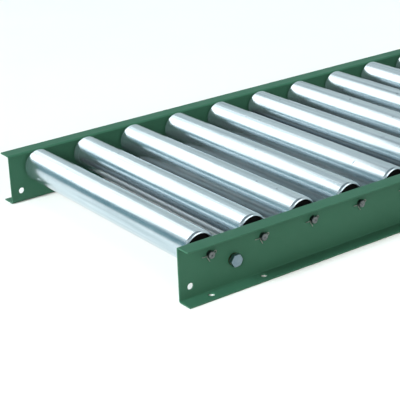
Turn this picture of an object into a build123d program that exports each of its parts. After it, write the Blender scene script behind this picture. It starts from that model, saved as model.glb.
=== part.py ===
from build123d import *
import math
import os

# Free-running gravity roller conveyor section, about 1 m long, in millimetres.
# X runs along the conveyor, Y across it and Z up. The origin is on the floor plane, at the middle
# of the section's length and width, level with the underside of the side frames' lower flanges.

# Rollers
ROLLER_COUNT = 10
ROLLER_PITCH = 100.0
ROLLER_DIAMETER = 57.2
ROLLER_WALL = 1.4
ROLLER_LENGTH = 487.0
ROLLER_LIP_DEPTH = 2.4  # length, along the axis, of the cone rolled at each end of the tube
ROLLER_LIP_WIDTH = 3.2  # how far that cone comes in towards the axis
ROLLER_SHOULDER = 5.5  # outer radius of the bend between the tube and its cone
ROLLER_MOUTH = 49.8  # diameter of the opening left in the rolled end
ROLLER_SHIFT = 9.0  # towards the left-hand side frame; spacers fill the wider gap at the right
END_TO_FIRST_ROLLER = 57.0
AXLE_HEIGHT = 62.5

# Side frames, formed channels whose flanges point outwards
FRAME_INSIDE_WIDTH = 510.0  # between the two webs
FRAME_HEIGHT = 90.0
FRAME_FLANGE = 28.0
FRAME_THICKNESS = 2.3
FRAME_BEND = 3.6  # outer radius of the two bends

# Axles and their split pins
AXLE_DIAMETER = 12.0
AXLE_STICK_OUT = 6.5  # beyond the outer face of the web
AXLE_CHAMFER = 0.8
AXLE_HOLE = 12.3
CENTRE_MARK = 3.6  # diameter of the turning centre in each axle end
PIN_HOLE = 3.4
PIN_WIRE = 1.5
PIN_FROM_WEB = 2.4  # from the web's outer face to the pin's middle plane
PIN_TILT = -75.0  # from upright, so the pins lie nearly level

# Bearings, at each end of each roller
BALL_DIAMETER = 6.35
BALL_COUNT = 12
BALL_CIRCLE = 27.0
BALL_INSET = 12.0  # from the roller's end face to the middle of the balls
RACE_WIDTH = 9.0
RACE_CLEARANCE = 0.3
FIT = 0.05

# Cross-members
TIE_FROM_END = 101.0
TIE_HEIGHT = 41.0
TIE_PIPE_DIAMETER = 27.2
TIE_PIPE_WALL = 2.0
TIE_PLUG_LENGTH = 30.0
BOLT_DIAMETER = 12.0
BOLT_ACROSS_FLATS = 19.0
BOLT_HEAD_HEIGHT = 7.0
HEAD_CHAMFER = 1.8
BOLT_SHANK = 26.0
BOLT_HOLE = 13.0
WASHER_DIAMETER = 20.4
WASHER_THICKNESS = 2.6

# Fixing holes
LEG_HOLE = 11.0
LEG_HOLE_FROM_END = (50.0, 150.0)
LEG_HOLE_FROM_WEB = 12.6  # from the web's inner face
SPLICE_HOLE = 11.0
SPLICE_HOLE_FROM_END = 20.0
SPLICE_HOLE_HEIGHT = 21.0

LENGTH = (ROLLER_COUNT - 1) * ROLLER_PITCH + 2 * END_TO_FIRST_ROLLER
WEB_INSIDE = FRAME_INSIDE_WIDTH / 2
WEB_OUTSIDE = WEB_INSIDE + FRAME_THICKNESS
ROLLER_END = ROLLER_LENGTH / 2
ROLLER_RADIUS = ROLLER_DIAMETER / 2
AXLE_RADIUS = AXLE_DIAMETER / 2
END_GAP = WEB_INSIDE - ROLLER_SHIFT - ROLLER_END  # roller to web on the left
AXLE_LENGTH = 2 * (WEB_OUTSIDE + AXLE_STICK_OUT)
ROLLER_X = [ROLLER_PITCH * (n - (ROLLER_COUNT - 1) / 2) for n in range(ROLLER_COUNT)]
TIE_X = {
    "front": TIE_FROM_END - LENGTH / 2,
    "middle": 0.0,
    "rear": LENGTH / 2 - TIE_FROM_END,
}
SIDES = {"right": -1, "left": 1}  # right hand and left hand of someone looking along +X

os.makedirs("parts", exist_ok=True)


def save(name, solids):
    """Writes one node: a single solid, or a group of separate solids."""
    shape = solids[0] if len(solids) == 1 else Compound(children=solids)
    export_step(shape, f"parts/{name}.step")


def across(radius, start, end):
    """A round bar along Y from start to end, centred on the Y axis."""
    bar = Cylinder(radius, end - start, align=(Align.CENTER, Align.CENTER, Align.MIN))
    return Pos(0, start, 0) * Rot(-90, 0, 0) * bar


def ring(inner, outer, start, end):
    """A round collar along Y."""
    return across(outer, start, end) - across(inner, start - 1, end + 1)


def at_side(shape, side):
    """Turns a shape made for the +Y side half a turn about Z for the other side."""
    return shape if side > 0 else Rot(0, 0, 180) * shape


# ---------------------------------------------------------------- side frames


def side_frame():
    """One formed channel for the +Y side, with every hole that the section uses."""
    flange_tip = WEB_INSIDE + FRAME_FLANGE
    outer = Pos(0, (WEB_INSIDE + flange_tip) / 2, FRAME_HEIGHT / 2)
    blank = outer * Box(LENGTH, FRAME_FLANGE, FRAME_HEIGHT)
    corner_edges = blank.edges().filter_by(Axis.X).group_by(Axis.Y)[0]
    blank = fillet(corner_edges, FRAME_BEND)
    depth = FRAME_FLANGE + 10
    hollow_place = Pos(0, WEB_OUTSIDE + depth / 2, FRAME_HEIGHT / 2)
    hollow = hollow_place * Box(LENGTH + 2, depth, FRAME_HEIGHT - 2 * FRAME_THICKNESS)
    inside_edges = hollow.edges().filter_by(Axis.X).group_by(Axis.Y)[0]
    hollow = fillet(inside_edges, FRAME_BEND - FRAME_THICKNESS)
    channel = blank - hollow

    web_bar = (WEB_INSIDE - 5, WEB_OUTSIDE + 5)
    cuts = [Pos(x, 0, AXLE_HEIGHT) * across(AXLE_HOLE / 2, *web_bar) for x in ROLLER_X]
    cuts += [Pos(x, 0, TIE_HEIGHT) * across(BOLT_HOLE / 2, *web_bar) for x in TIE_X.values()]
    for end in (-1, 1):
        splice_x = end * (LENGTH / 2 - SPLICE_HOLE_FROM_END)
        cuts.append(Pos(splice_x, 0, SPLICE_HOLE_HEIGHT) * across(SPLICE_HOLE / 2, *web_bar))
        for from_end in LEG_HOLE_FROM_END:
            leg_place = Pos(end * (LENGTH / 2 - from_end), WEB_INSIDE + LEG_HOLE_FROM_WEB, 0)
            cuts.append(leg_place * Cylinder(LEG_HOLE / 2, 4 * FRAME_THICKNESS))
    return channel - cuts


FRAME = side_frame()
for hand, side in SIDES.items():
    save(f"side_frame_{hand}", [at_side(FRAME, side)])


# ---------------------------------------------------------------- rollers


def rolled_bar(inset):
    """Solid bar with coned ends, everywhere inset by the same amount from the tube's outside."""
    lip_angle = math.atan2(ROLLER_LIP_WIDTH, ROLLER_LIP_DEPTH)
    radius = ROLLER_RADIUS - inset
    end = ROLLER_END - inset
    lip_start = ROLLER_END - ROLLER_LIP_DEPTH - inset * math.tan(lip_angle / 2)
    lip_radius = radius - (end - lip_start) * math.tan(lip_angle)
    outline = [
        (0, -end),
        (lip_radius, -end),
        (radius, -lip_start),
        (radius, lip_start),
        (lip_radius, end),
        (0, end),
    ]
    bar = revolve(make_face(Polyline(*outline, close=True)), Axis.Y)
    bends = bar.edges().filter_by(GeomType.CIRCLE).sort_by(lambda edge: edge.radius)[-2:]
    return fillet(bends, ROLLER_SHOULDER - inset)


def roller_tube():
    """The steel tube, both ends rolled inwards over the bearing cups."""
    mouth = across(ROLLER_MOUTH / 2, -ROLLER_END - 1, ROLLER_END + 1)
    return rolled_bar(0) - rolled_bar(ROLLER_WALL) - mouth


BALL_Y = ROLLER_END - BALL_INSET
GROOVE = BALL_DIAMETER / 2 + RACE_CLEARANCE
RACE_CUT = Pos(0, BALL_Y, 0) * Rot(90, 0, 0) * Torus(BALL_CIRCLE / 2, GROOVE)
RACE_OUTER_END = BALL_Y + RACE_WIDTH / 2
RACE_INNER_END = BALL_Y - RACE_WIDTH / 2
CUP_HUB = (15.5, 19.0)  # inner and outer radius of the outer race
CUP_RIM_START = ROLLER_END - 5.4
CUP_PLATE = 2.0
CUP_RADIUS = ROLLER_RADIUS - ROLLER_WALL - FIT
CONE_RADIUS = 11.2
SLEEVE_RADIUS = 9.2
SPACER_RADIUS = 8.5
SHIELD_DEPTH = 5.2  # from the roller's end face to the shield's back
SHIELD_SHEET = 0.8
SHIELD_GAP = 0.7


def bearing_cup():
    """Pressed outer race for the +Y end: hub with the ball groove, plate and rim."""
    hub = ring(*CUP_HUB, RACE_INNER_END, RACE_OUTER_END)
    plate = ring(CUP_HUB[0], CUP_RADIUS, RACE_INNER_END, RACE_INNER_END + CUP_PLATE)
    rim = ring(CUP_RADIUS - CUP_PLATE, CUP_RADIUS, RACE_INNER_END, CUP_RIM_START)
    return hub + plate + rim - RACE_CUT


def bearing_cone():
    """Inner race for the +Y end: ball groove, and a sleeve that spaces it off the web."""
    bore = AXLE_RADIUS + FIT
    race = ring(bore, CONE_RADIUS, RACE_INNER_END, RACE_OUTER_END)
    sleeve = ring(bore, SLEEVE_RADIUS, RACE_OUTER_END - 1, ROLLER_END + END_GAP - 2 * FIT)
    return race + sleeve - RACE_CUT


def dust_shield():
    """Pressed cover for the +Y end, on the inner race's sleeve, just inside the tube's mouth."""
    bore = SLEEVE_RADIUS + FIT
    back = ROLLER_END - SHIELD_DEPTH
    disc = ring(bore, ROLLER_MOUTH / 2 - SHIELD_GAP, back, back + SHIELD_SHEET)
    collar = ring(bore, SLEEVE_RADIUS + 2 * SHIELD_SHEET, back, back + 3 * SHIELD_SHEET)
    return disc + collar


def axle_spacer():
    """Collar on the axle between the right-hand web and the inner race's sleeve."""
    sleeve_end = ROLLER_SHIFT - ROLLER_END - END_GAP
    return ring(AXLE_RADIUS + FIT, SPACER_RADIUS, 2 * FIT - WEB_INSIDE, sleeve_end)


def ball_set():
    """The balls of both bearings of one roller, as separate solids."""
    balls = []
    for side in (-1, 1):
        for n in range(BALL_COUNT):
            turn = Rot(0, 360 / BALL_COUNT * n, 0)
            balls.append(turn * Pos(BALL_CIRCLE / 2, side * BALL_Y, 0) * Sphere(BALL_DIAMETER / 2))
    return balls


def axle():
    """Round bar with chamfered ends, turning centres and a hole at each end for its pin."""
    bar = across(AXLE_RADIUS, -AXLE_LENGTH / 2, AXLE_LENGTH / 2)
    bar = chamfer(bar.edges().filter_by(GeomType.CIRCLE), AXLE_CHAMFER)
    centre = Rot(90, 0, 0) * Cone(CENTRE_MARK / 2, 0, CENTRE_MARK / 2)
    centre = Pos(0, AXLE_LENGTH / 2 - CENTRE_MARK / 4, 0) * Rot(180, 0, 0) * centre
    drill = Rot(0, PIN_TILT, 0) * Cylinder(PIN_HOLE / 2, 3 * AXLE_RADIUS)
    for side in (-1, 1):
        bar -= at_side(centre, side)
        bar -= at_side(Pos(0, WEB_OUTSIDE + PIN_FROM_WEB, 0) * drill, side)
    return bar


TUBE = roller_tube()
CUP = bearing_cup()
BALLS = ball_set()
AXLE = axle()
for n, x in enumerate(ROLLER_X, start=1):
    place = Pos(x, ROLLER_SHIFT, AXLE_HEIGHT)
    save(f"roller_tube_{n:02d}", [place * TUBE])
    save(f"bearing_cups_{n:02d}", [place * at_side(CUP, side) for side in (-1, 1)])
    save(f"bearing_balls_{n:02d}", [place * ball for ball in BALLS])
    save(f"axle_{n:02d}", [Pos(x, 0, AXLE_HEIGHT) * AXLE])


# ---------------------------------------------------------------- split pins


def split_pin():
    """One folded wire: eye, two legs side by side through the axle, one leg bent well over.

    The pin lies along Z with its eye on top.
    """
    leg = PIN_WIRE / 2 + FIT
    eye_low = AXLE_RADIUS + 1.7
    eye_top = AXLE_RADIUS + 4.6
    eye_side = 2.1
    eye_start = AXLE_RADIUS + 0.6
    bend_at = -AXLE_RADIUS - 1.3
    open_leg = (2.2, 8.2)  # how far its end lies aside and below the bend
    bent_leg = (9.2, 2.7)  # how far its end lies aside and above the bend
    points = [
        (leg + open_leg[0], 0, bend_at - open_leg[1]),
        (leg, 0, bend_at),
        (leg, 0, eye_start),
        (eye_side, 0, eye_low),
        (eye_side, 0, eye_top),
        (-eye_side, 0, eye_top),
        (-eye_side, 0, eye_low),
        (-leg, 0, eye_start),
        (-leg, 0, bend_at),
        (-leg - bent_leg[0], 0, bend_at + bent_leg[1]),
    ]
    eye_radii = [0.9, 0.9, 1.9, 1.9, 0.9, 0.9]
    path = FilletPolyline(*points, radius=[3.0, *eye_radii, 1.2])
    section = Plane(origin=path @ 0, z_dir=path % 0) * Circle(PIN_WIRE / 2)
    return sweep(section, path=path)


PIN = Pos(0, WEB_OUTSIDE + PIN_FROM_WEB, 0) * Rot(0, PIN_TILT, 0) * split_pin()
CONE_PIECE = bearing_cone()
SHIELD = dust_shield()
SPACER = axle_spacer()
AXLE_PLACES = [Pos(x, 0, AXLE_HEIGHT) for x in ROLLER_X]
ROLLER_PLACES = [Pos(x, ROLLER_SHIFT, AXLE_HEIGHT) for x in ROLLER_X]
save("axle_spacers", [place * SPACER for place in AXLE_PLACES])
for hand, side in SIDES.items():
    save(f"bearing_cones_{hand}", [place * at_side(CONE_PIECE, side) for place in ROLLER_PLACES])
    save(f"dust_shields_{hand}", [place * at_side(SHIELD, side) for place in ROLLER_PLACES])
    save(f"split_pins_{hand}", [place * at_side(PIN, side) for place in AXLE_PLACES])


# ---------------------------------------------------------------- cross-members


def tie_pipe():
    """Round pipe between the two webs."""
    radius = TIE_PIPE_DIAMETER / 2
    return ring(radius - TIE_PIPE_WALL, radius, -WEB_INSIDE + FIT, WEB_INSIDE - FIT)


def tie_plug():
    """Threaded plug in the +Y end of a pipe; the thread is left as a plain bore."""
    outer = TIE_PIPE_DIAMETER / 2 - TIE_PIPE_WALL - FIT
    return ring(BOLT_DIAMETER / 2 + FIT, outer, WEB_INSIDE - FIT - TIE_PLUG_LENGTH, WEB_INSIDE - FIT)


def tie_bolt():
    """Hexagon bolt through the web and the spring washer into the plug, for the +Y side."""
    head_start = WEB_OUTSIDE + WASHER_THICKNESS
    corner = BOLT_ACROSS_FLATS / 2 / math.cos(math.pi / 6)
    hexagon_plane = Plane(origin=(0, head_start, 0), x_dir=(1, 0, 0), z_dir=(0, 1, 0))
    hexagon = hexagon_plane * RegularPolygon(corner, 6)
    head = extrude(hexagon, BOLT_HEAD_HEIGHT)
    rounding = across(corner, head_start - 1, head_start + BOLT_HEAD_HEIGHT)
    face_edge = rounding.edges().filter_by(GeomType.CIRCLE).sort_by(Axis.Y)[-1]
    head = head & chamfer(face_edge, HEAD_CHAMFER / 2, HEAD_CHAMFER)
    shank = across(BOLT_DIAMETER / 2, head_start - BOLT_SHANK, head_start + 1)
    return head + shank


def spring_washer():
    """Split ring between the bolt's head and the web, for the +Y side."""
    end = WEB_OUTSIDE + WASHER_THICKNESS
    washer = ring(BOLT_DIAMETER / 2 + 4 * FIT, WASHER_DIAMETER / 2, WEB_OUTSIDE, end)
    middle = (WEB_OUTSIDE + end) / 2
    split = Pos(0, middle, WASHER_DIAMETER / 2) * Box(1.2, 8, WASHER_DIAMETER)
    return washer - split


PIPE = tie_pipe()
PLUG = tie_plug()
BOLT = tie_bolt()
WASHER = spring_washer()
TIE_PLACES = [Pos(x, 0, TIE_HEIGHT) for x in TIE_X.values()]
for position, x in TIE_X.items():
    save(f"tie_pipe_{position}", [Pos(x, 0, TIE_HEIGHT) * PIPE])
save("tie_plugs", [place * at_side(PLUG, side) for place in TIE_PLACES for side in (-1, 1)])
for hand, side in SIDES.items():
    save(f"tie_bolts_{hand}", [place * at_side(BOLT, side) for place in TIE_PLACES])
    save(f"spring_washers_{hand}", [place * at_side(WASHER, side) for place in TIE_PLACES])
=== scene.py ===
import math
import bmesh
import bpy
from mathutils import Euler, Matrix, Vector


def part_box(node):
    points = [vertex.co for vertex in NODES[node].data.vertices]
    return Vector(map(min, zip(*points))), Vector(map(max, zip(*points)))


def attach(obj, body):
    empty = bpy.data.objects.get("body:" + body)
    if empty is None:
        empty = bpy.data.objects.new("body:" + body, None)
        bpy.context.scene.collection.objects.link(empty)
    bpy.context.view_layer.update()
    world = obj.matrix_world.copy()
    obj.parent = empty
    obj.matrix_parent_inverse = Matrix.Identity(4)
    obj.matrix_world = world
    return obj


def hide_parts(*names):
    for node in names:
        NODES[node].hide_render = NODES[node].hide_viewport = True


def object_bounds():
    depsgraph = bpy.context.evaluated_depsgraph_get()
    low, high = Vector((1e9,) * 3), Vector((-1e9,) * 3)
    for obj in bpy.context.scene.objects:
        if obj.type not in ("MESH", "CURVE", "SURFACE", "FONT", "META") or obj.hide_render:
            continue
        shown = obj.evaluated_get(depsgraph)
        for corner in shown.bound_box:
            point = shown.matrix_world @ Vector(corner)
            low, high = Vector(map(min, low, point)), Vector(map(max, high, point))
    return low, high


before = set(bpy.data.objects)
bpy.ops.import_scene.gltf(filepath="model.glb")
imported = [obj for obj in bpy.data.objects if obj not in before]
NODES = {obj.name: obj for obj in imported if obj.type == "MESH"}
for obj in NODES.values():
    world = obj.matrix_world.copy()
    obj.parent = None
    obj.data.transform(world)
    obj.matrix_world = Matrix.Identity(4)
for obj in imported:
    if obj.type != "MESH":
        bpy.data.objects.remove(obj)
CAD_LOW, CAD_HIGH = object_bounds()
ROLLERS = sorted(node[-2:] for node in NODES if node.startswith("roller_tube_"))
SIDES = {"right": -1, "left": 1}  # which way each frame's flanges point along Y
MM = 0.001
TURN = 2 * math.pi
ALONG_Y = Matrix.Rotation(TURN / 4, 4, "X")

# ---------------------------------------------------------------- sizes, read off the frame


def centre_of(node):
    low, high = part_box(node)
    return (Vector(low) + Vector(high)) / 2


def size_of(node):
    low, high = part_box(node)
    return Vector(high) - Vector(low)


TUBE_SIZE = size_of("roller_tube_01")
TUBE_RADIUS = TUBE_SIZE.z / 2
TUBE_END = TUBE_SIZE.y / 2
ROLLER_PLACE = {number: centre_of(f"roller_tube_{number}") for number in ROLLERS}
AXLE_SIZE = size_of("axle_01")
AXLE_RADIUS = AXLE_SIZE.z / 2
AXLE_END = AXLE_SIZE.y / 2
AXLE_PLACE = {number: centre_of(f"axle_{number}") for number in ROLLERS}
FRAME_LOW, FRAME_HIGH = (Vector(corner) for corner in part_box("side_frame_left"))
WEB_INSIDE = FRAME_LOW.y
FLANGE_TIP = FRAME_HIGH.y
TIE_NAMES = ("front", "middle", "rear")
TIE_PLACE = {name: centre_of(f"tie_pipe_{name}") for name in TIE_NAMES}
BOLT_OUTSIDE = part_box("tie_bolts_left")[1][1]
BOLT_LENGTH = size_of("tie_bolts_left").y

# Details that the boxes don't give. A tube's end is a rounded shoulder, then a straight lip.
TUBE_WALL = 1.4 * MM
TUBE_SHOULDER = 5.5 * MM
TUBE_MOUTH = 24.9 * MM
LIP_DEPTH = 2.4 * MM
LIP_WIDTH = 3.2 * MM
WEB_THICKNESS = 2.3 * MM
WEB_OUTSIDE = WEB_INSIDE + WEB_THICKNESS
OUTER_BEND = 3.6 * MM
SHEET_EASE = 0.35 * MM
AXLE_HOLE = 6.15 * MM  # radius
BOLT_HOLE = 6.5 * MM  # radius
FIX_HOLE = 5.5 * MM  # radius of the leg and splice holes
SPLICE_FROM_END = 20.0 * MM
SPLICE_HEIGHT = 21.0 * MM
LEG_HOLES_FROM_END = (50.0 * MM, 150.0 * MM)
LEG_HOLE_FROM_WEB = 12.6 * MM
AXLE_CHAMFER = 0.8 * MM
CENTRE_MARK = 1.8 * MM  # radius and depth of the turning centre in an axle's end
CENTRE_STEP = 0.25 * MM
COLLAR_EDGE = 0.2 * MM
SPACER_RADIUS = 8.5 * MM
SLEEVE_RADIUS = 9.25 * MM
SHIELD_DEPTH = 5.2 * MM
SHIELD_SHEET = 0.8 * MM
PIN_OUT = WEB_OUTSIDE + 2.4 * MM
PIN_TILT = math.radians(-75.0)
PIN_WIRE = 0.75 * MM  # radius
PIN_HOLE = 1.7 * MM  # radius
PIPE_WALL = 2.0 * MM
BOLT_RADIUS = 6.0 * MM
BOLT_OVERLAP = 0.5 * MM  # how far a shank reaches into its head
HEAD_ACROSS = 19.0 * MM
HEAD_CHAMFER = (1.8 * MM, 0.9 * MM)  # inwards, downwards
WASHER_THICKNESS = 2.6 * MM
WASHER_RADIUS = 10.2 * MM
WASHER_CLEARANCE = 0.2 * MM

# ---------------------------------------------------------------- node materials


class Nodes:
    """Short calls for building the node tree of a material or world."""

    def __init__(self, owner, coordinates):
        owner.use_nodes = True
        self.tree = owner.node_tree
        self.place = self.new("TexCoord").outputs[coordinates]

    def new(self, kind, **sockets):
        node = self.tree.nodes.new("ShaderNode" + kind)
        for name, value in sockets.items():
            node.inputs[name.replace("_", " ")].default_value = value
        return node

    def link(self, source, target):
        self.tree.links.new(source, target)

    def noise(self, scale, detail=2.0, rough=0.5, stretch=None):
        """Noise on the object's coordinates, stretched by a scale for each axis."""
        node = self.new("TexNoise", Scale=scale, Detail=detail, Roughness=rough)
        place = self.place
        if stretch:
            mapping = self.new("Mapping", Scale=stretch)
            self.link(place, mapping.inputs["Vector"])
            place = mapping.outputs["Vector"]
        self.link(place, node.inputs["Vector"])
        return node.outputs["Fac"]

    def ramp(self, source, *stops):
        """A colour ramp: each stop is (place, grey or colour)."""
        node = self.new("ValToRGB")
        elements = node.color_ramp.elements
        while len(elements) < len(stops):
            elements.new(0.5)
        for element, (place, colour) in zip(elements, stops):
            element.position = place
            rgb = (colour,) * 3 if isinstance(colour, (int, float)) else colour
            element.color = (*rgb, 1.0)
        self.link(source, node.inputs["Fac"])
        return node.outputs["Color"]

    def mix(self, factor, first, second):
        """The first colour where the factor is 0 and the second where it is 1."""
        node = self.new("Mix")
        node.data_type = "RGBA"
        self.link(factor, node.inputs[0])
        for socket, value in ((6, first), (7, second)):
            if isinstance(value, bpy.types.NodeSocket):
                self.link(value, node.inputs[socket])
            else:
                node.inputs[socket].default_value = (*value, 1.0)
        return node.outputs[2]

    def span(self, source, low, high, new_low, new_high, easing="LINEAR"):
        """The part of source between low and high, spread from new_low to new_high."""
        node = self.new("MapRange", From_Min=low, From_Max=high, To_Min=new_low, To_Max=new_high)
        node.interpolation_type = easing
        self.link(source, node.inputs["Value"])
        return node.outputs["Result"]

    def axes(self, source):
        """The x, y and z outputs of a vector."""
        node = self.new("SeparateXYZ")
        self.link(source, node.inputs["Vector"])
        return node.outputs

    def maths(self, operation, *values):
        node = self.new("Math")
        node.operation = operation
        for socket, value in zip(node.inputs, values):
            self.link(value, socket)
        return node.outputs["Value"]


class Material(Nodes):
    """A material whose node tree ends in one principled shader."""

    def __init__(self, name, **constants):
        self.material = bpy.data.materials.new(name)
        super().__init__(self.material, "Object")
        self.shader = self.tree.nodes["Principled BSDF"]
        for socket, value in constants.items():
            self.shader.inputs[socket.replace("_", " ")].default_value = value

    def drive(self, **sources):
        """Feeds the shader's named sockets."""
        for socket, source in sources.items():
            self.link(source, self.shader.inputs[socket.replace("_", " ")])

    def bump(self, height, strength, distance, before=None):
        node = self.new("Bump", Strength=strength, Distance=distance)
        self.link(height, node.inputs["Height"])
        if before is not None:
            self.link(before, node.inputs["Normal"])
        return node.outputs["Normal"]


def painted_green(name):
    """Baked enamel on formed sheet: slight orange peel, faint dust and thin scuffs along X."""
    deep, bright = (0.033, 0.107, 0.065), (0.037, 0.120, 0.074)
    dusty, scuffed = (0.052, 0.14, 0.09), (0.065, 0.16, 0.105)
    look = Material(name, Metallic=0.0, Specular_IOR_Level=0.10)
    cloud = look.noise(3.5, detail=4.0)
    dust = look.noise(60.0, detail=3.0)
    scuff = look.noise(9.0, detail=8.0, rough=0.7, stretch=(1.0, 6.0, 7.0))
    gloss = look.noise(22.0, detail=5.0)
    peel = look.noise(420.0, detail=1.5)
    paint = look.ramp(cloud, (0.3, deep), (0.7, bright))
    paint = look.mix(look.span(dust, 0.45, 0.75, 0.0, 0.15), paint, dusty)
    paint = look.mix(look.span(scuff, 0.64, 0.76, 0.0, 0.25), paint, scuffed)
    look.drive(
        Base_Color=paint,
        Roughness=look.span(gloss, 0.3, 0.7, 0.36, 0.5),
        Normal=look.bump(peel, 0.06, 0.0006),
    )
    return look.material


def zinc_roller(name):
    """Bright plated tube: rings of drawing marks round it, duller streaks along it, specks."""
    dull, bright = (0.60, 0.70, 0.75), (0.68, 0.77, 0.82)
    ringed, banded = (0.50, 0.59, 0.64), (0.76, 0.83, 0.87)
    streaked, specked = (0.38, 0.47, 0.52), (0.20, 0.26, 0.30)
    look = Material(name, Metallic=0.955, Anisotropic=0.35)
    tangent = look.new("Tangent")
    tangent.direction_type = "RADIAL"
    tangent.axis = "Y"
    haze = look.noise(14.0, detail=5.0, rough=0.6)
    rings = look.noise(1.0, detail=6.0, rough=0.75, stretch=(3.0, 900.0, 3.0))
    bands = look.noise(1.0, detail=3.0, stretch=(6.0, 42.0, 6.0))
    streaks = look.noise(1.0, detail=5.0, rough=0.6, stretch=(150.0, 3.0, 150.0))
    specks = look.noise(95.0, detail=2.0)
    base = look.ramp(haze, (0.3, dull), (0.7, bright))
    base = look.mix(look.span(rings, 0.35, 0.7, 0.0, 0.35), base, ringed)
    base = look.mix(look.span(bands, 0.5, 0.8, 0.0, 0.25), base, banded)
    base = look.mix(look.span(streaks, 0.46, 0.66, 0.0, 0.75), base, streaked)
    base = look.mix(look.span(specks, 0.70, 0.76, 0.0, 0.75), base, specked)
    ring_gloss = look.span(rings, 0.3, 0.7, 0.15, 0.24)
    haze_gloss = look.span(haze, 0.3, 0.7, 0.0, 0.05)
    drawn = look.bump(streaks, 0.16, 0.0004)
    look.drive(
        Tangent=tangent.outputs["Tangent"],
        Base_Color=base,
        Roughness=look.maths("ADD", ring_gloss, haze_gloss),
        Normal=look.bump(rings, 0.012, 0.0002, before=drawn),
    )
    return look.material


def steel_grain(look):
    return look.noise(140.0, detail=5.0, rough=0.65)


def plain_metal(name, dark, light, rough, bump=0.1):
    """Drawn, pressed or plated steel with a fine mottled grain."""
    look = Material(name, Metallic=1.0)
    grain = steel_grain(look)
    cloud = look.noise(25.0, detail=3.0)
    base = look.ramp(grain, (0.3, dark), (0.7, light))
    look.drive(
        Base_Color=look.mix(look.span(cloud, 0.45, 0.75, 0.0, 0.4), base, dark),
        Roughness=look.span(grain, 0.3, 0.7, rough - 0.07, rough + 0.08),
        Normal=look.bump(grain, bump, 0.0004),
    )
    return look.material


def bar_steel_shaded_sides(name):
    """Drawn bar whose sides are painted near black as shade round the axle ends; its sawn end
    faces, the ones that look along Y, are brighter.
    """
    look = Material(name, Metallic=1.0)
    grain = steel_grain(look)
    cut_marks = look.noise(420.0, detail=4.0)
    # The sides' near-black tone is painted shade; the sawn ends keep a steel tone.
    side = look.ramp(grain, (0.3, (0.050, 0.052, 0.056)), (0.7, (0.10, 0.102, 0.105)))
    sawn = look.ramp(cut_marks, (0.3, (0.10, 0.11, 0.11)), (0.7, (0.22, 0.23, 0.23)))
    normal = look.new("NewGeometry").outputs["Normal"]
    facing = look.maths("ABSOLUTE", look.axes(normal)["Y"])
    look.drive(
        Base_Color=look.mix(look.span(facing, 0.5, 0.8, 0.0, 1.0), side, sawn),
        Roughness=look.span(grain, 0.3, 0.7, 0.40, 0.55),
        Normal=look.bump(grain, 0.1, 0.0004),
    )
    return look.material


def black_shield_painted_shade(name):
    """Matte black pressed cover with a little dust; its black is pushed near zero as painted shade
    inside the roller's end.
    """
    look = Material(name, Specular_IOR_Level=0.15)
    dust = look.noise(180.0, detail=6.0, rough=0.7)
    look.drive(
        # Near-zero black: painted shade in the recess, varied a little by dust.
        Base_Color=look.ramp(dust, (0.35, 0.002), (0.75, 0.008)),
        Roughness=look.span(dust, 0.3, 0.7, 0.5, 0.7),
        Normal=look.bump(dust, 0.1, 0.0003),
    )
    return look.material


def pale_floor(name):
    """Matte white ground with a faint cloudiness."""
    look = Material(name, Roughness=0.9)
    cloud = look.noise(2.0, detail=3.0)
    look.drive(Base_Color=look.ramp(cloud, (0.3, (0.875, 0.83, 0.81)), (0.7, (0.895, 0.85, 0.83))))
    return look.material


def pale_backdrop(name):
    """A softly lit wall: its glow varies slightly so that it meets the floor's tone."""
    look = Material(name, Roughness=0.9, Emission_Strength=1.0)
    cloud = look.noise(0.3, detail=2.0)
    wide_cloud = look.noise(0.2, detail=2.0)
    look.drive(
        Base_Color=look.ramp(cloud, (0.3, 0.02), (0.7, 0.03)),
        Emission_Color=look.ramp(wide_cloud, (0.3, (0.74, 0.76, 0.76)), (0.7, (0.78, 0.80, 0.80))),
    )
    return look.material


PAINT = painted_green("green_enamel")
ZINC = zinc_roller("roller_zinc")
PRESSED = plain_metal("pressed_steel", (0.20, 0.21, 0.22), (0.42, 0.43, 0.44), 0.38)
BALL_STEEL = plain_metal("ball_steel", (0.62, 0.63, 0.65), (0.75, 0.76, 0.78), 0.14, bump=0.02)
BAR_STEEL_SHADED_SIDES = bar_steel_shaded_sides("bar_steel_shaded_sides")
WIRE_STEEL = plain_metal("wire_steel", (0.19, 0.20, 0.18), (0.36, 0.37, 0.33), 0.45)
WASHER_STEEL = plain_metal("washer_steel", (0.10, 0.085, 0.04), (0.20, 0.17, 0.09), 0.45)
BOLT_ZINC = plain_metal("bolt_zinc", (0.16, 0.22, 0.26), (0.25, 0.32, 0.36), 0.42)
# The tie pipes' zinc is darkened far below plated steel: painted shade under the rollers.
TIE_ZINC_PAINTED_SHADE = plain_metal("tie_zinc", (0.05, 0.075, 0.09), (0.10, 0.135, 0.155), 0.40)
# The shields' near-zero black is painted shade in the roller ends.
BLACK_AND_SHADE = black_shield_painted_shade("shield_black")

NODE_MATERIALS = {
    "side_frame": PAINT,
    "tie_pipe": TIE_ZINC_PAINTED_SHADE,
    "roller_tube": ZINC,
    "bearing_cups": PRESSED,
    "bearing_cones": PRESSED,
    "bearing_balls": BALL_STEEL,
    "dust_shields": BLACK_AND_SHADE,
    "axle": BAR_STEEL_SHADED_SIDES,
    "tie_plugs": PRESSED,
    "tie_bolts": BOLT_ZINC,
    "spring_washers": WASHER_STEEL,
    "split_pins": WIRE_STEEL,
}
for node, cad in NODES.items():
    for start, material in NODE_MATERIALS.items():
        if node.startswith(start):
            for place in cad.material_slots:
                place.material = material

# ---------------------------------------------------------------- mesh building


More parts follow.
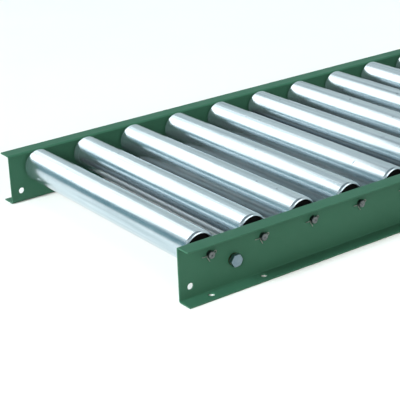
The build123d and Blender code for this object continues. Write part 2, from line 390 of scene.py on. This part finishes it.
def new_piece(name, mesh_data, material, smooth_angle=35.0):
    """Mesh data made into an object, shaded smooth except at sharp edges."""
    mesh = bpy.data.meshes.new(name)
    bmesh.ops.recalc_face_normals(mesh_data, faces=mesh_data.faces)
    sharp = math.radians(smooth_angle)
    for edge in mesh_data.edges:
        edge.smooth = len(edge.link_faces) == 2 and edge.calc_face_angle() < sharp
    for face in mesh_data.faces:
        face.smooth = True
    mesh_data.to_mesh(mesh)
    mesh_data.free()
    mesh.materials.append(material)
    piece = bpy.data.objects.new(name, mesh)
    bpy.context.scene.collection.objects.link(piece)
    return piece


def arc(centre, radius, start, end, steps):
    """Flat points along a circular arc; angles in degrees."""
    points = []
    for step in range(steps + 1):
        angle = math.radians(start + (end - start) * step / steps)
        across, up = radius * math.cos(angle), radius * math.sin(angle)
        points.append((centre[0] + across, centre[1] + up))
    return points


def lathe(mesh_data, profile, at, segments=96):
    """Turns a closed (radius, y) outline about the line along Y through at."""
    rings = []
    for radius, y in profile:
        if radius == 0:
            rings.append([mesh_data.verts.new((at.x, at.y + y, at.z))])
            continue
        ring = []
        for step in range(segments):
            angle = TURN * step / segments
            spot = (at.x + radius * math.cos(angle), at.y + y, at.z + radius * math.sin(angle))
            ring.append(mesh_data.verts.new(spot))
        rings.append(ring)
    for ring, other in zip(rings, rings[1:] + rings[:1]):
        if len(ring) == 1 and len(other) == 1:
            continue
        for here in range(segments):
            after = (here + 1) % segments
            if len(ring) == 1:
                mesh_data.faces.new((ring[0], other[here], other[after]))
            elif len(other) == 1:
                mesh_data.faces.new((ring[here], ring[after], other[0]))
            else:
                mesh_data.faces.new((ring[here], ring[after], other[after], other[here]))


def join_rings(mesh_data, rings):
    """Skins a row of rings with as many corners each, and closes the first and the last."""
    for ring, other in zip(rings, rings[1:]):
        for here in range(len(ring)):
            after = (here + 1) % len(ring)
            mesh_data.faces.new((ring[here], ring[after], other[after], other[here]))
    mesh_data.faces.new(rings[0])
    mesh_data.faces.new(reversed(rings[-1]))


def rod(mesh_data, sides, radius, length, shape):
    """A straight prism along its own Z, put in place by shape."""
    bmesh.ops.create_cone(
        mesh_data,
        cap_ends=True,
        segments=sides,
        radius1=radius,
        radius2=radius,
        depth=length,
        matrix=shape,
    )


def cut(piece, tools, keep="DIFFERENCE"):
    """The piece with the closed shapes in tools cut away, or with only what they share."""
    cutter = new_piece("cutter", tools, BAR_STEEL_SHADED_SIDES)
    modifier = piece.modifiers.new("cut", "BOOLEAN")
    modifier.object = cutter
    modifier.operation = keep
    modifier.solver = "EXACT"
    bpy.context.view_layer.update()
    evaluated = piece.evaluated_get(bpy.context.evaluated_depsgraph_get())
    name = piece.name
    material = piece.data.materials[0]
    result = bmesh.new()
    result.from_mesh(evaluated.to_mesh())
    bmesh.ops.remove_doubles(result, verts=result.verts, dist=0.0001 * MM)
    for face in result.faces:
        face.material_index = 0
    bpy.data.objects.remove(cutter)
    bpy.data.objects.remove(piece)
    return new_piece(name, result, material)


def stand_for(piece, body, node):
    """The piece rides on the body and replaces the CAD node."""
    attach(piece, body)
    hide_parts(node)


def mirrored(profile):
    """The same outline at the other end, in the other direction."""
    return [(radius, -y) for radius, y in reversed(profile)]


# ---------------------------------------------------------------- rollers


def tube_outline():
    """Outline of one coned end from the bore to the outside, then both ends joined."""
    lip_angle = math.atan2(LIP_WIDTH, LIP_DEPTH)
    bend_y = TUBE_END - LIP_DEPTH - TUBE_SHOULDER * math.tan(lip_angle / 2)
    bend = (TUBE_RADIUS - TUBE_SHOULDER, bend_y)
    slope = math.degrees(lip_angle)
    edge = SHEET_EASE
    inside = arc(bend, TUBE_SHOULDER - TUBE_WALL, 0, slope, 5)
    mouth_low = (TUBE_MOUTH, TUBE_END - TUBE_WALL)
    mouth = arc((TUBE_MOUTH + edge, TUBE_END - edge), edge, 180, 90, 3)
    lip_foot = (TUBE_RADIUS - LIP_WIDTH, TUBE_END)
    outside = arc(bend, TUBE_SHOULDER, slope, 0, 12)
    end = inside + [mouth_low] + mouth + [lip_foot] + outside
    return end + mirrored(end)


for number in ROLLERS:
    shell = bmesh.new()
    lathe(shell, tube_outline(), ROLLER_PLACE[number], segments=160)
    tube = new_piece(f"roller_shell_{number}", shell, ZINC)
    stand_for(tube, f"roller_{number}", f"roller_tube_{number}")

# ---------------------------------------------------------------- axles, spacers and shields


def axle_outline():
    """Chamfered bar with a turning centre in each end."""
    end = [
        (AXLE_RADIUS, AXLE_END - AXLE_CHAMFER),
        (AXLE_RADIUS - AXLE_CHAMFER, AXLE_END),
        (CENTRE_MARK, AXLE_END),
        (CENTRE_MARK * 0.85, AXLE_END - CENTRE_STEP),
        (0.0, AXLE_END - CENTRE_MARK),
    ]
    return mirrored(end) + end


def ring_outline(inner, outer, start, end):
    """A collar's section with its two outer corners slightly broken."""
    return [
        (inner, start),
        (outer - COLLAR_EDGE, start),
        (outer, start + COLLAR_EDGE),
        (outer, end - COLLAR_EDGE),
        (outer - COLLAR_EDGE, end),
        (inner, end),
    ]


for number in ROLLERS:
    bar = bmesh.new()
    lathe(bar, axle_outline(), AXLE_PLACE[number], segments=64)
    axle = new_piece(f"axle_bar_{number}", bar, BAR_STEEL_SHADED_SIDES)
    drills = bmesh.new()
    for side in SIDES.values():
        pin_place = AXLE_PLACE[number] + Vector((0, side * PIN_OUT, 0))
        tilt = Matrix.Rotation(side * PIN_TILT, 4, "Y")
        rod(drills, 24, PIN_HOLE, 3 * AXLE_RADIUS, Matrix.Translation(pin_place) @ tilt)
    axle = cut(axle, drills)
    stand_for(axle, "frame", f"axle_{number}")

low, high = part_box("axle_spacers")
collars = bmesh.new()
for number in ROLLERS:
    at = Vector((AXLE_PLACE[number].x, 0, AXLE_PLACE[number].z))
    lathe(collars, ring_outline(AXLE_RADIUS, SPACER_RADIUS, low[1], high[1]), at, segments=48)
stand_for(new_piece("spacer_collars", collars, BAR_STEEL_SHADED_SIDES), "frame", "axle_spacers")


def shield_outline(outer):
    """A pressed cover with a raised ring and a collar on the sleeve, at the +Y end."""
    inner = SLEEVE_RADIUS
    back = TUBE_END - SHIELD_DEPTH
    sheet = SHIELD_SHEET
    return [
        (inner, back),
        (outer - sheet, back),
        (outer, back + 0.4 * sheet),
        (outer, back + sheet),
        (outer - 3 * sheet, back + sheet),
        (outer - 4 * sheet, back + 1.4 * sheet),
        (inner + 5 * sheet, back + 1.4 * sheet),
        (inner + 3 * sheet, back + sheet),
        (inner + 2 * sheet, back + 1.3 * sheet),
        (inner + 2 * sheet, back + 3 * sheet),
        (inner, back + 3 * sheet),
    ]


for hand, side in SIDES.items():
    covers = bmesh.new()
    section = shield_outline(size_of(f"dust_shields_{hand}").z / 2)
    if side < 0:
        section = mirrored(section)
    for number in ROLLERS:
        lathe(covers, section, ROLLER_PLACE[number], segments=72)
    cover = new_piece(f"shield_discs_{hand}", covers, BLACK_AND_SHADE)
    stand_for(cover, "frame", f"dust_shields_{hand}")

# ---------------------------------------------------------------- split pins


def rounded(points, radii, steps=6):
    """A path through flat (x, z) points with each inner corner turned into an arc."""
    path = [Vector(points[0])]
    for before, corner, after, radius in zip(points, points[1:], points[2:], radii):
        corner = Vector(corner)
        first = (Vector(before) - corner).normalized()
        last = (Vector(after) - corner).normalized()
        half = first.angle(last) / 2
        middle = corner + (first + last).normalized() * (radius / math.sin(half))
        reach = radius / math.tan(half)
        start = corner + first * reach - middle
        turn = start.angle_signed(corner + last * reach - middle)
        for step in range(steps + 1):
            path.append(middle + Matrix.Rotation(-turn * step / steps, 2) @ start)
    path.append(Vector(points[-1]))
    return path


def wire(mesh_data, path, radius, shape, sides=12):
    """A round wire along a flat path of (x, z) points, put in place by shape."""
    rings = []
    last = len(path) - 1
    for here, spot in enumerate(path):
        ahead = (path[min(here + 1, last)] - path[max(here - 1, 0)]).normalized()
        sideways = Vector((-ahead.y, ahead.x))
        ring = []
        for step in range(sides):
            angle = TURN * step / sides
            flat = spot + sideways * (radius * math.cos(angle))
            local = Vector((flat.x, radius * math.sin(angle), flat.y))
            ring.append(mesh_data.verts.new(shape @ local))
        rings.append(ring)
    join_rings(mesh_data, rings)


def pin_path():
    """The folded wire of one split pin: eye up, legs down, one of them bent well over."""
    leg = PIN_WIRE + 0.05 * MM
    bend_at = -AXLE_RADIUS - 1.3 * MM
    splayed_tip = (2.2 * MM, -8.2 * MM)  # both tips measured from where their leg bends
    bent_tip = (-9.2 * MM, 2.7 * MM)
    eye_foot = AXLE_RADIUS + 0.6 * MM
    eye_side = 2.1 * MM
    eye_low = AXLE_RADIUS + 1.7 * MM
    eye_top = AXLE_RADIUS + 4.6 * MM
    points = [
        (leg + splayed_tip[0], bend_at + splayed_tip[1]),
        (leg, bend_at),
        (leg, eye_foot),
        (eye_side, eye_low),
        (eye_side, eye_top),
        (-eye_side, eye_top),
        (-eye_side, eye_low),
        (-leg, eye_foot),
        (-leg, bend_at),
        (-leg + bent_tip[0], bend_at + bent_tip[1]),
    ]
    bends = (3.0, 0.9, 0.9, 1.9, 1.9, 0.9, 0.9, 1.2)  # mm, at each inner point
    return rounded(points, [radius * MM for radius in bends])


for hand, side in SIDES.items():
    pins = bmesh.new()
    for number in ROLLERS:
        spot = AXLE_PLACE[number] + Vector((0, side * PIN_OUT, 0))
        outwards = Matrix.Rotation(0.0 if side > 0 else math.pi, 4, "Z")
        shape = Matrix.Translation(spot) @ outwards @ Matrix.Rotation(PIN_TILT, 4, "Y")
        wire(pins, pin_path(), PIN_WIRE, shape)
    pins = new_piece(f"pin_wires_{hand}", pins, WIRE_STEEL, smooth_angle=50.0)
    stand_for(pins, "frame", f"split_pins_{hand}")

# ---------------------------------------------------------------- cross-members

for name in TIE_NAMES:
    pipe = bmesh.new()
    size = size_of(f"tie_pipe_{name}")
    radius = size.z / 2
    outline = ring_outline(radius - PIPE_WALL, radius, -size.y / 2, size.y / 2)
    lathe(pipe, outline, TIE_PLACE[name], segments=72)
    pipe = new_piece(f"tie_tube_{name}", pipe, TIE_ZINC_PAINTED_SHADE)
    stand_for(pipe, "frame", f"tie_pipe_{name}")


def hexagon_head(at, side, start, height, name):
    """Bolt head: a hexagon whose outer corners are turned down to a circle."""
    head = bmesh.new()
    corner = HEAD_ACROSS / math.sqrt(3)
    middle = Matrix.Translation((at.x, side * (start + height / 2), at.z))
    flat_down = Matrix.Rotation(TURN / 12, 4, "Z")
    rod(head, 6, corner, height, middle @ ALONG_Y @ flat_down)
    head = new_piece(name, head, BOLT_ZINC)
    turned = bmesh.new()
    clear = corner * 1.3
    inwards, down = HEAD_CHAMFER
    outline = [
        (0.0, start - height),
        (clear, start - height),
        (clear, start + height - down - (clear - corner) / 2),
        (corner - inwards, start + height),
        (0.0, start + height),
    ]
    if side < 0:
        outline = mirrored(outline)
    lathe(turned, outline, Vector((at.x, 0, at.z)), segments=72)
    return cut(head, turned, keep="INTERSECT")


def bolt_parts(hand, side):
    """Heads and shanks of one side's bolts, joined into one piece."""
    start = WEB_OUTSIDE + WASHER_THICKNESS
    height = BOLT_OUTSIDE - start
    heads = []
    joined = bmesh.new()
    for name in TIE_NAMES:
        head = hexagon_head(TIE_PLACE[name], side, start, height, f"head_{name}_{hand}")
        heads.append(head)
        joined.from_mesh(head.data)
        ends = sorted((side * (BOLT_OUTSIDE - BOLT_LENGTH), side * (start + BOLT_OVERLAP)))
        at = Vector((TIE_PLACE[name].x, 0, TIE_PLACE[name].z))
        shank = [(0.0, ends[0]), (BOLT_RADIUS, ends[0]), (BOLT_RADIUS, ends[1]), (0.0, ends[1])]
        lathe(joined, shank, at, segments=48)
    for head in heads:
        bpy.data.objects.remove(head)
    return new_piece(f"hex_bolts_{hand}", joined, BOLT_ZINC, smooth_angle=25.0)


def split_washer(mesh_data, at, side, steps=60):
    """A spring washer on the web: a ring of square section with a slanting gap at the top."""
    inner, outer = BOLT_RADIUS + WASHER_CLEARANCE, WASHER_RADIUS
    thickness = WASHER_THICKNESS
    gap = math.radians(4.0)
    rings = []
    for step in range(steps + 1):
        share = step / steps
        ring = []
        for radius, y in ((inner, 0.0), (outer, 0.0), (outer, thickness), (inner, thickness)):
            slant = gap * (y / thickness - 0.5)
            angle = TURN / 4 + gap + slant + (TURN - 2 * gap) * share
            x, z = at.x + radius * math.cos(angle), at.z + radius * math.sin(angle)
            ring.append(mesh_data.verts.new((x, side * (WEB_OUTSIDE + y), z)))
        rings.append(ring)
    join_rings(mesh_data, rings)


for hand, side in SIDES.items():
    bolts = bolt_parts(hand, side)
    stand_for(bolts, "frame", f"tie_bolts_{hand}")
    washers = bmesh.new()
    for name in TIE_NAMES:
        split_washer(washers, TIE_PLACE[name], side)
    washers = new_piece(f"lock_washers_{hand}", washers, WASHER_STEEL)
    stand_for(washers, "frame", f"spring_washers_{hand}")

# ---------------------------------------------------------------- side frames


def channel_section():
    """(y, z) outline of the +Y side's channel, bends rounded and sheet edges eased."""
    sheet = WEB_THICKNESS
    inner_bend = OUTER_BEND - sheet
    tip = FLANGE_TIP - SHEET_EASE
    flange = [
        (tip, 0.0),
        (FLANGE_TIP, SHEET_EASE),
        (FLANGE_TIP, sheet - SHEET_EASE),
        (tip, sheet),
    ]
    inner = arc((WEB_OUTSIDE + inner_bend, sheet + inner_bend), inner_bend, 270, 180, 6)
    outer = arc((WEB_INSIDE + OUTER_BEND, OUTER_BEND), OUTER_BEND, 180, 270, 10)
    lower = outer + flange + inner
    upper = [(y, FRAME_HIGH.z - z) for y, z in reversed(lower)]
    return lower + upper


def side_channel(hand, side):
    """One formed channel with its holes, swept along X."""
    section = channel_section()
    body = bmesh.new()
    ends = []
    for x in (FRAME_LOW.x, FRAME_HIGH.x):
        ends.append([body.verts.new((x, side * y, z)) for y, z in section])
    join_rings(body, ends)
    channel = new_piece(f"channel_{hand}", body, PAINT)

    web_middle = side * (WEB_INSIDE + WEB_OUTSIDE) / 2
    leg_line = side * (WEB_INSIDE + LEG_HOLE_FROM_WEB)
    web_holes = [(place.x, place.z, AXLE_HOLE) for place in AXLE_PLACE.values()]
    web_holes += [(place.x, place.z, BOLT_HOLE) for place in TIE_PLACE.values()]
    leg_holes = []
    for end in (-1, 1):
        web_holes.append((end * (FRAME_HIGH.x - SPLICE_FROM_END), SPLICE_HEIGHT, FIX_HOLE))
        leg_holes += [end * (FRAME_HIGH.x - from_end) for from_end in LEG_HOLES_FROM_END]
    drills = bmesh.new()
    reach = 4 * WEB_THICKNESS
    for x, z, radius in web_holes:
        rod(drills, 48, radius, reach, Matrix.Translation((x, web_middle, z)) @ ALONG_Y)
    for x in leg_holes:
        place = Matrix.Translation((x, leg_line, WEB_THICKNESS / 2))
        rod(drills, 48, FIX_HOLE, reach, place)
    return cut(channel, drills)


for hand, side in SIDES.items():
    stand_for(side_channel(hand, side), "frame", f"side_frame_{hand}")

# ---------------------------------------------------------------- camera, floor and light

CAMERA_PLACE = (-1.4613, -1.6667, 0.8506)
CAMERA_DEGREES = (67.9615, 2.2294, -36.2020)
CAMERA_LENS = 116.0
CAMERA_SENSOR = 36.0
CAMERA_REACH = 50.0
FLOOR_REACH = 14.0
FLOOR_DROP = 0.5 * MM
WALL_RADIUS = 13.0
WALL_HEIGHT = 16.0

camera_data = bpy.data.cameras.new("camera")
camera = bpy.data.objects.new("camera", camera_data)
camera_data.sensor_width = CAMERA_SENSOR
camera_data.lens = CAMERA_LENS
camera_data.clip_end = CAMERA_REACH
camera.location = CAMERA_PLACE
camera.rotation_euler = Euler([math.radians(angle) for angle in CAMERA_DEGREES], "XYZ")
bpy.context.scene.collection.objects.link(camera)
bpy.context.scene.camera = camera

floor_mesh = bmesh.new()
bmesh.ops.create_grid(floor_mesh, x_segments=1, y_segments=1, size=FLOOR_REACH)
floor = new_piece("floor", floor_mesh, pale_floor("floor_white"))
floor.location.z = CAD_LOW.z - FLOOR_DROP

wall_mesh = bmesh.new()
bmesh.ops.create_cone(
    wall_mesh,
    cap_ends=False,
    segments=96,
    radius1=WALL_RADIUS,
    radius2=WALL_RADIUS,
    depth=WALL_HEIGHT,
)
wall = new_piece("backdrop", wall_mesh, pale_backdrop("backdrop_pale"))
wall.visible_glossy = False
wall.visible_diffuse = False
wall.visible_shadow = False

WARM = (1.0, 0.965, 0.94)
COOL = (0.86, 1.0, 1.02)
BLUE = (0.66, 0.92, 1.0)
# Boxes the metal mirrors, which light nothing else: name, place, aim, width, height, power.
MIRRORED_BOXES = (
    ("back_left_box", (-1.05, 2.1, 1.70), (-0.3, 0.0, 0.5), 1.5, 1.6, 13.4),
    ("back_middle_box", (0.05, 2.15, 1.70), (0.0, 0.0, 0.5), 0.7, 1.6, 3.6),
    ("front_box", (0.3, -2.0, 1.6), (0.0, 0.0, 0.0), 2.0, 1.2, 11.0),
)
# Boxes that light the paint and the floor and aren't mirrored.
FILL_BOXES = (
    ("front_bank", (-0.1, -2.2, 0.90), (-0.1, 0.0, 0.05), 1.6, 0.7, 15.0),
    ("left_bank", (-4.0, -0.6, 1.8), (-0.5, 0.0, 0.0), 3.5, 1.6, 40.0),
)
# Broad, distant lights that aren't mirrored: name, direction, strength, degrees, colour.
FILL_SUNS = (
    ("front_key", (-0.74, -0.60, 0.42), 1.7, 20.0, WARM),
    ("left_fill", (-0.86, 0.0, 0.51), 4.5, 14.0, COOL),
    ("top_fill", (0.05, 0.15, 1.0), 0.8, 40.0, BLUE),
)


def add_light(name, kind, power, axis, towards, mirrored_in_metal):
    """A light turned so that its axis, Z or -Z, points towards a direction."""
    data = bpy.data.lights.new(name, kind)
    data.energy = power
    light = bpy.data.objects.new(name, data)
    light.rotation_euler = towards.to_track_quat(axis, "Y").to_euler()
    light.visible_glossy = mirrored_in_metal
    bpy.context.scene.collection.objects.link(light)
    return light


def add_box(mirrored_in_metal, name, place, aim, width, height, power):
    """A rectangular light aimed at a point, for the metal alone or for all but the metal."""
    towards = Vector(aim) - Vector(place)
    light = add_light(name, "AREA", power, "-Z", towards, mirrored_in_metal)
    light.location = place
    light.visible_diffuse = not mirrored_in_metal
    light.visible_camera = False
    light.data.shape = "RECTANGLE"
    light.data.size = width
    light.data.size_y = height
    if not mirrored_in_metal:
        light.data.color = WARM


for settings in MIRRORED_BOXES:
    add_box(True, *settings)
for settings in FILL_BOXES:
    add_box(False, *settings)
for name, direction, strength, spread, colour in FILL_SUNS:
    sun = add_light(name, "SUN", strength, "Z", Vector(direction), False)
    sun.data.angle = math.radians(spread)
    sun.data.color = colour

# The studio's tone by height on its left and right sides: (height, colour). One side
# passes into the other between two values of x.
TENT_BLEND = (-0.25, 0.40)
LEFT_TENT = [
    (0.0, (0.10, 0.23, 0.27)),
    (0.30, (0.12, 0.27, 0.31)),
    (0.50, (0.40, 0.48, 0.50)),
    (0.64, (0.70, 0.72, 0.71)),
    (0.78, (0.20, 0.24, 0.26)),
]
RIGHT_TENT = [
    (0.0, (0.54, 0.62, 0.63)),
    (0.38, (0.54, 0.62, 0.63)),
    (0.52, (0.62, 0.70, 0.71)),
    (0.68, (0.64, 0.70, 0.71)),
    (0.78, (0.20, 0.24, 0.26)),
]


def studio_world():
    """A light tent, dark and bluish low on the left, an even pale grey on the right."""
    world = bpy.data.worlds.new("studio")
    sky = Nodes(world, "Generated")
    direction = sky.axes(sky.place)
    left = sky.ramp(direction["Z"], *LEFT_TENT)
    right = sky.ramp(direction["Z"], *RIGHT_TENT)
    across = sky.span(direction["X"], *TENT_BLEND, 0.0, 1.0, easing="SMOOTHSTEP")
    background = sky.tree.nodes["Background"]
    sky.link(sky.mix(across, left, right), background.inputs["Color"])
    world.cycles_visibility.diffuse = False
    return world


bpy.context.scene.world = studio_world()
bpy.context.scene.view_settings.view_transform = "Standard"
